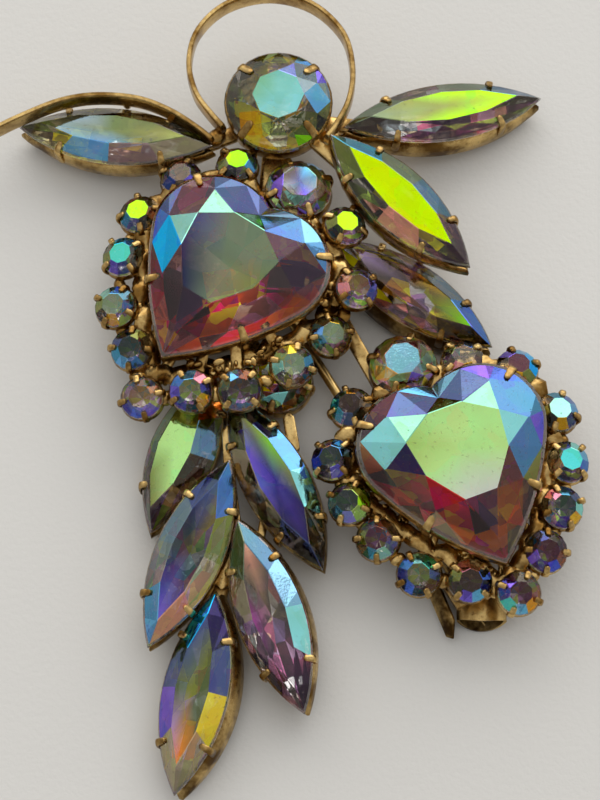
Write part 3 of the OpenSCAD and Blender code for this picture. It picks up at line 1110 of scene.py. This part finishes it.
# Corners 0 to 3 run from the outer tip along the stone's left side, seen from its inner end, which is 4,
# and the others back along its right side
NAVETTE_PLAYS = (
    Play(
        table="MOSS GREYBLUE STEEL STEEL MOSS OLIVE MOSS MOSS GREYBLUE",
        kites="TAUPE SKY BLUSH BEIGE SMOKE BEIGE TAUPE TAUPE",
        depths="CLEAR BEIGE TAUPE OLIVE GOLD SMOKE SILVER",
    ),
    Play(
        table="OLIVE LIME LIME LIME OLIVE GREYGREEN OLIVE LIME LIME",
        kites="STEEL GREYGREEN TAUPE GREYGREEN TAUPE PLUM MAUVE TAUPE",
        depths="CLEAR TAUPE MAUVE OLIVE PINK SMOKE SILVER",
    ),
    Play(
        table="LEMON",
        kites="MAUVE STEEL GREYGREEN TEAL OLIVE SMOKE PEACH MAUVE",
        depths="CLEAR PINK OLIVE TAUPE GOLD COAL SMOKE",
    ),
    Play(
        table="SMOKE LIME OLIVE AMBER MAUVE LILAC TAUPE COPPER SMOKE",
        kites="AZURE GREYBLUE TAUPE MAUVE MAUVE SMOKE TAUPE SHADE",
        depths="CLEAR PINK GOLD TAUPE AMBER LILAC SMOKE",
    ),
    Play(
        table="PALE_LIME OLIVE PALE_LIME PALE_LIME PALE_LIME PALE_LIME PALE_LIME PALE_LIME OLIVE",
        kites="SMOKE SHADE STEEL ORANGE MOSS GREYGREEN SMOKE SMOKE",
    ),
    Play(
        table="INDIGO NAVY NAVY OLIVE LIME OLIVE VIOLET VIOLET NAVY",
        kites="TAUPE AQUA SKY GREYBLUE MOSS BEIGE TAUPE SLATE",
        depths="CLEAR BEIGE TAUPE MOSS SMOKE SILVER VIOLET",
    ),
    Play(
        table="INK VIOLET NAVY INK SMOKE SLATE NAVY PLUM INDIGO",
        kites="PEACH BEIGE OLIVE AZURE SLATE GREYBLUE SILVER SKY",
    ),
    Play(
        table="TAUPE PLUM MAUVE SMOKE TAUPE PEACH TAUPE MAGENTA PLUM",
        kites="PLUM AQUA HAZE STEEL GREYGREEN BEIGE CLEAR ROSE",
        depths="TAUPE MAUVE CLEAR PINK COAL LILAC MAUVE",
    ),
    Play(
        table="MOSS ORANGE MOSS MOSS MOSS SLATE SLATE MOSS LILAC",
        kites="BEIGE GOLD SLATE NAVY CYAN SLATE VIOLET BEIGE",
        depths="CLEAR GOLD OLIVE LILAC ORANGE SILVER GOLD",
    ),
)


def small_plays(rows: str) -> list[Play]:
    """Small stones, one to a line: the table, then eight anticlockwise round it from the photo's right."""
    lines = [row.split() for row in rows.strip().splitlines()]
    return [Play(row[0], " ".join(row[1:]), depths="CLEAR PEACH FRESH SKY LILAC") for row in lines]


SMALL_LEFT_PLAYS = small_plays(
    """
    TAUPE SLATE INDIGO PINK SMOKE MAUVE INDIGO SMOKE VIOLET
    LIME TEAL MOSS OLIVE GOLD OLIVE INK SMOKE TEAL
    LIME TEAL SLATE GREYGREEN SMOKE OLIVE INK COPPER SMOKE
    BARK VIOLET SLATE SMOKE COPPER PINK PLUM SMOKE INDIGO
    GREYGREEN OLIVE AMBER TAUPE SKY TEAL SMOKE COPPER OLIVE
    GREYGREEN TEAL SMOKE GOLD OLIVE SEAFOAM INK PLUM SMOKE
    SHADE INK COPPER SKY MOSS INK SLATE TAUPE PLUM
    MOSS INDIGO PINK SKY AZURE VIOLET INDIGO INK AMBER
    BARK COPPER ROSE SMOKE TAUPE INDIGO BLUE VIOLET MAUVE
    MURK SMOKE OLIVE INK SLATE TEAL SKY AZURE SMOKE
    GREYGREEN STEEL SKY SEAFOAM OLIVE INK AMBER MAUVE SLATE
    TURQUOISE INK TEAL CYAN SMOKE OLIVE VIOLET INDIGO SMOKE
    LIME SMOKE OLIVE PINK MOSS TEAL SLATE INK COPPER
    """
)
SMALL_RIGHT_PLAYS = small_plays(
    """
    SMOKE TAUPE SKY COPPER OLIVE SMOKE PINK AMBER MAUVE
    WINE CYAN SKY VIOLET SMOKE COPPER AMBER OLIVE CYAN
    SEAFOAM SKY AZURE TEAL SMOKE OLIVE INK AMBER SLATE
    TURQUOISE SKY AQUA SLATE SMOKE COPPER INK PLUM AZURE
    MURK SLATE SKY PINK SMOKE TAUPE INDIGO AMBER AQUA
    WINE PLUM ROSE SLATE INK VIOLET INDIGO BLUE COPPER
    WINE COPPER ROSE SMOKE VIOLET INDIGO TURQUOISE SKY AMBER
    SHADE BLUE COPPER PINK OLIVE TAUPE VIOLET SKY INDIGO
    MOSS SLATE TURQUOISE AQUA AZURE INDIGO BLUE INK BARK
    WINE MAUVE COPPER PLUM OLIVE TAUPE TEAL SEAFOAM SLATE
    MURK FRESH OLIVE INK SMOKE TEAL PERIWINKLE FRESH LIME
    MURK AZURE SKY COPPER BLUE INDIGO INK VIOLET PLUM
    SHADE SMOKE AMBER SKY CYAN TEAL SLATE INK TAUPE
    """
)


# The brooch's own pieces, placed in the coordinates of the tables

Z_HALO = 4.6
SMALL, MEDIUM, LARGE = 3.2, 5.2, 8.4
SMALL_CUP, MEDIUM_CUP, LARGE_CUP = Cup(SMALL, 0.58), Cup(MEDIUM, 0.66, sides=36), Cup(LARGE, 0.8, sides=48)
HEART = HeartOutline()
# Steps of the heart's outline that have a prong
HEART_PRONGS = (5, 12, 20, 27)
# Small cups nearer than this to each other have a bead of solder between them
BEAD_REACH = 4.7
BEAD_LOW = np.array([0.0, 0.0, 0.75])
BEAD = (0.62, 0.62, 0.45)
# Grains of solder on each strut, and what the seed of their places is counted from
GRAINS = 7
SEED = 40


@dataclass
class HeartCluster:
    """One heart with its collar, its ring of small stones and the medium stone and bar soldered to it.

    Halo is x, y and z of each small stone, and bar is what Metal.bar takes. Strut is the length of the struts
    under the small cups, and lean the angle at which these stand out.
    """

    side: str
    heart: Place
    medium: Place
    bar: Row
    halo: Sequence[Row]
    heart_play: Play
    small_plays: Sequence[Play]
    strut: float = 4.8
    lean: float = 14.0

    def halo_places(self) -> list[Place]:
        """Each small stone leans away from a point under the heart's middle."""
        t = math.radians(self.heart.turn)
        cx, cy = self.heart.x + 2 * math.sin(t), self.heart.y - 2 * math.cos(t)
        return [Place(x, y, z, math.degrees(math.atan2(y - cy, x - cx)), self.lean) for x, y, z in self.halo]

    def ruffle(self) -> Shell:
        """Wavy edge under the heart, with 19 and 31 waves outwards and 23 up and down, open at one step."""
        line = HEART.ring(0.85, 4)
        s = 2 * math.pi * np.arange(len(line)) / len(line)
        wave = 0.2 * np.sin(19 * s) + 0.16 * np.sin(31 * s + 1)
        away = line - line.mean(axis=0)
        away /= np.linalg.norm(away, axis=1, keepdims=True)
        loop = np.column_stack([line + away * wave[:, None], -2.3 - 0.3 * np.cos(23 * s)])
        order = (np.arange(len(line) - 1) + 3) % len(line)
        return strap(loop[order], away[order] @ np.eye(2, 3), 1.5, 0.8, roundness=0.8, sides=10)

    def rail(self, k: int, lift: float) -> Shell:
        """Strut from the k-th cup in under the heart, shorter by its lift, with grains of solder on it."""
        length = self.strut - 0.3 * max(0.0, lift)
        s = np.linspace(0, 1, 12)
        path = np.column_stack([-length + s * (length - 0.9), 0 * s, -1.46 + 0.2 * s * s])
        rail = strap(path, (0, 1, 0), 0.8 + 0.3 * s, 0.45, roundness=0.9, sides=12)
        draw = np.random.default_rng(SEED + k)
        for j in range(GRAINS):
            spot = (-SMALL / 2 - draw.uniform(0.1, 1.0), draw.uniform(-1.7, 1.7), -draw.uniform(0.7, 1.3))
            rail.take(blob(spot, tuple(draw.uniform(0.16, 0.42, 3)), k + j))
        return rail

    def metal(self) -> Metal:
        """Gather the collar, the cups, the struts under them and the bar."""
        part = Metal(f"heart_setting_{self.side}")
        body = Collar(HEART, depth=3.95, band=1.0, low_share=0.86).shell()
        ring = HEART.ring(0.0, 1)
        for i in HEART_PRONGS:
            d = ring[i + 1] - ring[i - 1]
            away = math.degrees(math.atan2(-d[0], d[1]))
            body.take(claw(width=0.85, reach=1.0, slope=0.62, low=-2.2), Place(*ring[i].tolist(), 0.0, away))
        body.take(self.ruffle())
        part.shell.take(body, self.heart)
        places = self.halo_places()
        for k, place in enumerate(places):
            part.shell.take(SMALL_CUP.shell(), place)
            part.shell.take(self.rail(k, place.z - Z_HALO), place)
        spots = [np.array([p.x, p.y, p.z]) for p in places]
        for k, (a, b) in enumerate(zip(spots, spots[1:] + spots[:1])):
            if np.linalg.norm(a - b) < BEAD_REACH:
                part.shell.take(blob((a + b) / 2 - BEAD_LOW, BEAD, k))
        part.shell.take(MEDIUM_CUP.shell(), self.medium)
        part.bar(*self.bar)
        return part

    def heart_stone(self) -> Stone:
        """The heart."""
        return Stone(
            f"heart_stone_{self.side}", self.heart, HEART, self.heart_play, 2.3, 3.2,
            first=2, centre=(0.0, -1.6), edge=0.962, shift=(-0.1, -0.45),
        )

    def small_stones(self) -> list[Stone]:
        """The stones of its ring."""
        return [
            round_cut(f"small_stone_{self.side}_{i}", place, SMALL, play, fine=1, stars=False)
            for i, (place, play) in enumerate(zip(self.halo_places(), self.small_plays), 1)
        ]


@dataclass
class Navette:
    """A navette: where it lies, how its length is stretched, how its collar leans and its table shifts."""

    number: int
    place: Place
    play: Play
    share: float
    lean: float
    shift: Point = (0.0, 0.0)

    def collar(self) -> Shell:
        """Collar with four prongs."""
        outline = NavetteOutline(self.share)
        body = Collar(outline, depth=2.05, band=1.2, low_share=0.93, tip_drop=0.9, lean=self.lean).shell()
        x = 0.54 * self.share * outline.length / 2
        for sx in (-1, 1):
            for sy in (-1, 1):
                place = Place(sx * x, sy * outline.half_width(x), 0.0, sy * (90 - sx * outline.slope(x)))
                body.take(claw(width=0.72, reach=0.5, slope=1.0, low=-1.6), place)
        return body

    def stone(self) -> Stone:
        """The stone itself."""
        return Stone(
            f"navette_stone_{self.number}", self.place, NavetteOutline(self.share), self.play, 1.05, 1.7,
            table_share=0.74, slim=0.68, stars=False, shift=self.shift,
        )


@dataclass
class Branch:
    """Round cup, navettes and the bars that carry them, with any ribbons and beads of solder.

    Bars and beads are what Metal.bar and Metal.bead take, but for a bead's seed. A ribbon is the height under
    it and its points.
    """

    node: str
    cup: Cup
    cup_place: Place
    navettes: Sequence[Navette]
    bars: Sequence[Row]
    ribbons: Sequence[tuple[float, Sequence[Point]]] = ()
    beads: Sequence[Row] = ()

    def metal(self) -> Metal:
        """Gather cup, collars, ribbons, bars and beads."""
        part = Metal(self.node)
        part.shell.take(self.cup.shell(), self.cup_place)
        for navette in self.navettes:
            part.shell.take(navette.collar(), navette.place)
        for under, points in self.ribbons:
            part.ribbon(points, under)
        for row in self.bars:
            part.bar(*row)
        for i, row in enumerate(self.beads):
            part.bead(*row, seed=i)
        return part


@dataclass
class PinBack:
    """Flat bar, hinge block, wire, catch tube and its pointed leaf, as one plain piece.

    The wire runs from start to end at a height, and narrows over the last millimetres that point gives.
    """

    start: Point = (-1.6, 9.7)
    end: Point = (14.6, -17.6)
    height: float = 1.4
    wire: float = 0.8
    point: float = 2.0
    bar: Row = (-0.1, 14.5, 15.3, -14.5, 2.1, 1.2)
    mouth: Place = Place(14.35, -17.25, 1.3, -91)
    tube_length: float = 3.2
    tube_half: Point = (1.98, 1.05)
    tube_wall: float = 0.16
    leaf: Place = Place(10.73, -14.71, 1.05, -69, 0, 56)
    leaf_outline: Sequence[Point] = ((-0.7, -0.75), (3.7, -0.75), (4.1, -0.2), (2.9, 0.75), (-0.7, 0.75))
    leaf_half: float = 0.14

    def slab(self, outline: Sequence[Point], low: float, high: float, edge: float) -> Shell:
        """Flat plate with rounded edges: rings of the outline, drawn in towards its middle at both faces."""
        flat = np.array(outline, float)
        c = flat.mean(axis=0)
        away = (flat - c) / np.linalg.norm(flat - c, axis=1, keepdims=True)
        steps = ((edge, 0.0), (0.3 * edge, 0.3 * edge), (0.0, edge))
        heights = [(i, low + z) for i, z in steps] + [(i, high - z) for i, z in steps[::-1]]
        return loft(np.stack([np.column_stack([flat - away * i, np.full(len(flat), z)]) for i, z in heights]))

    def box(self, x0: float, y0: float, x1: float, y1: float, low: float, high: float) -> Shell:
        """Rounded block."""
        return self.slab([(x0, y0), (x1, y0), (x1, y1), (x0, y1)], low, high, 0.12)

    def spout(self) -> Shell:
        """Catch tube with an eye-shaped section, y = w cos a, z = h sin a |sin a|^0.6, whose front bulges."""
        sides = 48
        a = 2 * math.pi * np.arange(sides) / sides
        bulge = 0.42 * np.sin(a) ** 2 - 0.18 * np.sin(a)
        back, wall = -self.tube_length, self.tube_wall
        rings = []
        for x, inset in ((back, 0.0), (0.0, 0.0), (0.0, wall), (back, wall), (back, 0.0)):
            w, h = self.tube_half[0] - 1.6 * inset, self.tube_half[1] - inset
            rise = h * np.sin(a) * np.abs(np.sin(a)) ** 0.6
            rings.append(np.column_stack([x + bulge * (x == 0.0), w * np.cos(a), rise]))
        return loft(np.stack(rings), capped=False)

    def metal(self) -> Metal:
        """Gather its pieces: hinge block, wire and catch plate lie along the wire."""
        part = Metal("pin_back")
        part.bar(*self.bar)
        d = np.array(self.end) - np.array(self.start)
        length, count = float(np.linalg.norm(d)), 60
        along = self.box(-1.2, -0.9, 1.2, 4.1, -0.9, 1.5)
        s = np.linspace(-0.6, length, count)
        path = np.column_stack([s, np.zeros(count), np.zeros(count)])
        thick = self.wire * np.clip((length - s) / self.point, 0.2, 1.0)
        along.take(strap(path, (0, 1, 0), thick, thick, roundness=1.0, sides=14))
        along.take(self.box(length - 4.6, -1.5, length - 1.9, 1.8, 0.9, 1.6))
        part.shell.take(along, Place(*self.start, self.height, math.degrees(math.atan2(d[1], d[0]))))
        part.shell.take(self.spout(), self.mouth)
        part.shell.take(self.slab(self.leaf_outline, -self.leaf_half, self.leaf_half, 0.08), self.leaf)
        return part


def navettes(first: int, *rows: Sequence[Any]) -> list[Navette]:
    """Navettes with numbers from first on.

    Each row is x, y, z, turn, pitch and roll, then share, lean and any shift.
    """
    return [Navette(i, Place(*row[:6]), NAVETTE_PLAYS[i - 1], *row[6:]) for i, row in enumerate(rows, first)]


LEFT = HeartCluster(
    "left",
    heart=Place(-4.8, 12.5, 6.6, -33.5),
    medium=Place(-0.1, 18.6, 4.8, 65, 8),
    bar=(-1.5, 17.3, -3.8, 14.8, 2.6, 1.4),
    halo=(
        (-9.85, 19.75, 4.5), (-5.2, 20.9, Z_HALO), (3.7, 15.05, 5.4), (4.6, 9.4, 5.6), (2.5, 5.7, Z_HALO),
        (-0.6, 2.5, 6.2), (-4.8, 0.4, 6.2), (-8.7, 0.5, 5.7), (-12.7, 0.3, Z_HALO), (-13.6, 4.5, Z_HALO),
        (-15.0, 8.2, Z_HALO), (-14.5, 12.6, Z_HALO), (-13.2, 16.4, Z_HALO),
    ),
    heart_play=HEART_LEFT_PLAY,
    small_plays=SMALL_LEFT_PLAYS,
)
RIGHT = HeartCluster(
    "right",
    heart=Place(11.96, -3.47, 6.6, 21),
    medium=Place(8.3, 3.1, 4.6, 120, 8),
    bar=(9.2, 1.5, 11.0, -1.8, 2.4, 1.4),
    halo=(
        (13.15, 3.6, 4.5), (17.5, 2.9, 4.5), (20.6, -0.9, Z_HALO), (21.3, -5.1, Z_HALO), (20.7, -8.9, Z_HALO),
        (19.3, -12.5, Z_HALO), (17.1, -15.9, Z_HALO), (13.3, -14.9, Z_HALO), (9.3, -14.4, Z_HALO),
        (6.1, -11.5, Z_HALO), (3.9, -8.5, Z_HALO), (2.6, -4.9, Z_HALO), (4.1, -0.5, Z_HALO),
    ),
    heart_play=HEART_RIGHT_PLAY,
    small_plays=SMALL_RIGHT_PLAYS,
)
TOP = Branch(
    "top_setting",
    cup=LARGE_CUP,
    cup_place=Place(-1.8, 26.15, 5.6, 90, -3.5),
    navettes=navettes(
        1,
        (-15.5, 24.1, 3.4, 170, 8, 6, 1.04, 0.1),
        (12.05, 26.3, 3.4, 13, 8, -4, 1.07, -0.45),
        (8.15, 16.9, 6.3, -46, 2, 0, 1, -0.3),
        (9.1, 10.2, 2.7, -36, 0, -4, 1, -0.6),
    ),
    bars=(
        (-2.1, 23.4, -2.8, 15.2, 2.4, 2.0), (-4.3, 25.0, -9.4, 22.8, 2.7, 1.4),
        (0.9, 25.6, 6.2, 24.9, 2.7, 1.4), (1.2, 23.5, 4.4, 20.4, 3.9, 1.6),
        (-0.5, 18.0, 2.9, 14.8, 1.75, 1.2),
    ),
    ribbons=(
        (4.4, (
            (-6.3, 23.7), (-7.4, 25.0), (-8.7, 27.0), (-9.3, 29.8), (-8.6, 32.8), (-6.2, 35.3),
            (-2.6, 36.3), (1.0, 35.3), (3.6, 32.6), (4.4, 29.4), (4.1, 26.4), (3.0, 24.0), (2.2, 22.8),
        )),
        (3.6, (
            (-7.2, 22.9), (-8.7, 24.2), (-10.9, 25.7), (-13.6, 26.8), (-17.0, 27.1), (-20.0, 26.6),
            (-23.0, 25.3), (-25.4, 24.0), (-27.0, 22.9),
        )),
    ),
    beads=(
        (-7.0, 23.5, 3.3, 0.7, 1.8), (2.6, 23.4, 3.3, 0.8, 1.9), (-14.6, 27.1, 3.0, 0.4, 1.4),
        (10.0, 13.1, 1.8, 0.35, 2.5),
    ),
)
SPRAY = Branch(
    "spray_setting",
    cup=MEDIUM_CUP,
    cup_place=Place(-1.7, 2.4, 2.9, -60, 4),
    navettes=navettes(
        5,
        (-9.4, -3.4, 2.3, -110, 0, 0, 0.9, 0.0, (0.3, -0.6)),
        (-1.9, -6.4, 3.5, -63, 2, 6, 1, 0.2),
        (-8.7, -12.5, 4.2, -113, 6, 0, 1, 0.2),
        (-2.3, -17.5, 3.9, -71, 5, 8, 1, 0.6),
        (-8.1, -23.4, 3.0, -101, 4, 12, 1, 0.75),
    ),
    bars=(
        (-3.6, 5.1, -5.2, 7.3, 2.2, 1.3), (-5.8, -2.0, -5.6, -5.6, 2.4, 1.0),
        (-5.8, -5.6, -5.3, -9.4, 2.4, 1.2), (-5.3, -9.4, -6.1, -14.4, 2.2, 1.3),
        (-6.1, -14.4, -7.0, -17.4, 1.6, 1.3),
        (-0.9, -0.8, -0.5, -3.2, 2.1, 1.0), (-2.9, -9.4, -3.6, -13.8, 2.0, 0.7),
    ),
)


def round_stones() -> list[Stone]:
    """The large round stone and the three medium ones."""
    large = round_cut("round_stone", TOP.cup_place, LARGE, ROUND_PLAY, 0.21, table_share=0.48, grow=0.34)
    rows = enumerate(zip((LEFT.medium, SPRAY.cup_place, RIGHT.medium), MEDIUM_PLAYS), 1)
    return [large] + [
        round_cut(f"medium_stone_{i}", place, MEDIUM, play, fine=1) for i, (place, play) in rows
    ]


@dataclass
class Studio:
    """Camera, floor and soft light. Sizes here are in metres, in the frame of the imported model."""

    camera_at: Row = (0.001965, -0.07081, 0.19294)
    camera_tilt: float = 20.0
    lens: float = 112.5
    floor_half: float = 1.5
    window_at: Row = (0.08, 0.8, 0.5)
    window_size: Point = (1.7, 0.8)
    window_power: float = 6.0
    window_colour: str = "fffaf4"
    aim: Row = (0.0, 0.0, 0.005)
    sky_rise: Row = (0.1, 0.6, 0.6)
    sky: Sequence[tuple[float, Row]] = (
        (0.0, (0.34, 0.33, 0.32)), (0.18, (0.46, 0.45, 0.44)),
        (0.5, (0.74, 0.74, 0.74)), (0.9, (0.8, 0.8, 0.8)),
    )
    sky_strength: float = 1.2

    def camera(self) -> None:
        """Camera at the photo's angle: it looks down at seventy degrees from the near side."""
        data = bpy.data.cameras.new("camera")
        data.sensor_fit = "VERTICAL"
        data.sensor_height = 36.0
        data.lens = self.lens
        data.clip_start = 0.01
        thing = stand("camera", data)
        thing.location = self.camera_at
        thing.rotation_euler = (math.radians(self.camera_tilt), 0.0, 0.0)
        bpy.context.scene.camera = thing

    def floor(self) -> None:
        """Plane under the brooch."""
        mesh = bpy.data.meshes.new("floor")
        s = self.floor_half
        mesh.from_pydata([(-s, -s, 0), (s, -s, 0), (s, s, 0), (-s, s, 0)], [], [(0, 1, 2, 3)])
        mesh.materials.append(FloorFinish().make())
        thing = stand("floor", mesh)

    def window(self) -> None:
        """Wide soft light behind the brooch, which faces it."""
        data = bpy.data.lights.new("window", "AREA")
        data.shape = "RECTANGLE"
        data.size, data.size_y = self.window_size
        data.energy = self.window_power
        data.color = linear(self.window_colour)
        thing = stand("window", data)
        thing.location = self.window_at
        thing.rotation_euler = (Vector(self.aim) - Vector(self.window_at)).to_track_quat("-Z", "Y").to_euler()

    def light(self) -> None:
        """Window, and a sky that darkens towards the near side: it follows 0.1 x + 0.6 y + 0.6 z."""
        self.window()
        world = bpy.data.worlds.new("sky")
        bpy.context.scene.world = world
        bpy.context.scene.view_settings.view_transform = "Standard"
        world.use_nodes = True
        nodes = Nodes(world.node_tree)
        away = nodes.node("ShaderNodeTexCoord", out="Generated")
        rise = nodes.node(
            "ShaderNodeVectorMath", {"operation": "DOT_PRODUCT"}, {0: away, 1: self.sky_rise}, "Value"
        )
        colour = nodes.node("ShaderNodeValToRGB", {"stops": self.sky}, {0: rise})
        shine = nodes.node("ShaderNodeBackground", None, {"Color": colour, "Strength": self.sky_strength})
        nodes.end("ShaderNodeOutputWorld", shine)


def facet_edges(thing: bpy.types.Object, width: float, over: float = 9.0) -> None:
    """Soften facets' edges that bend by more than over degrees with a bevel of width millimetres."""
    bevel = thing.modifiers.new("facet_edges", "BEVEL")
    bevel.width = width * MM
    bevel.segments = 1
    bevel.limit_method = "ANGLE"
    bevel.angle_limit = math.radians(over)


def main() -> None:
    """Load the frame, build the camera, light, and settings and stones."""
    logging.basicConfig(level=logging.INFO, format="%(name)s: %(message)s")
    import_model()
    studio = Studio()
    studio.camera()
    studio.floor()
    studio.light()

    gold = AntiqueGold().make()
    for maker in (LEFT, RIGHT, TOP, SPRAY, PinBack()):
        maker.metal().make(gold)

    kinds: list[tuple[str, list[Stone], float]] = [
        ("heart_glass", [LEFT.heart_stone(), RIGHT.heart_stone()], 0.05),
        ("round_glass", round_stones(), 0.04),
        ("navette_glass", [n.stone() for n in (*TOP.navettes, *SPRAY.navettes)], 0.045),
        ("small_glass", LEFT.small_stones() + RIGHT.small_stones(), 0.025),
    ]
    for slot, stones, edge in kinds:
        glass = CoatedGlass(slot).make()
        foil = Foil(slot.replace("glass", "foil")).make()
        for stone in stones:
            thing = stone.make(glass, foil)
            facet_edges(thing, edge)

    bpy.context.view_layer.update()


if __name__ == "__main__":
    main()
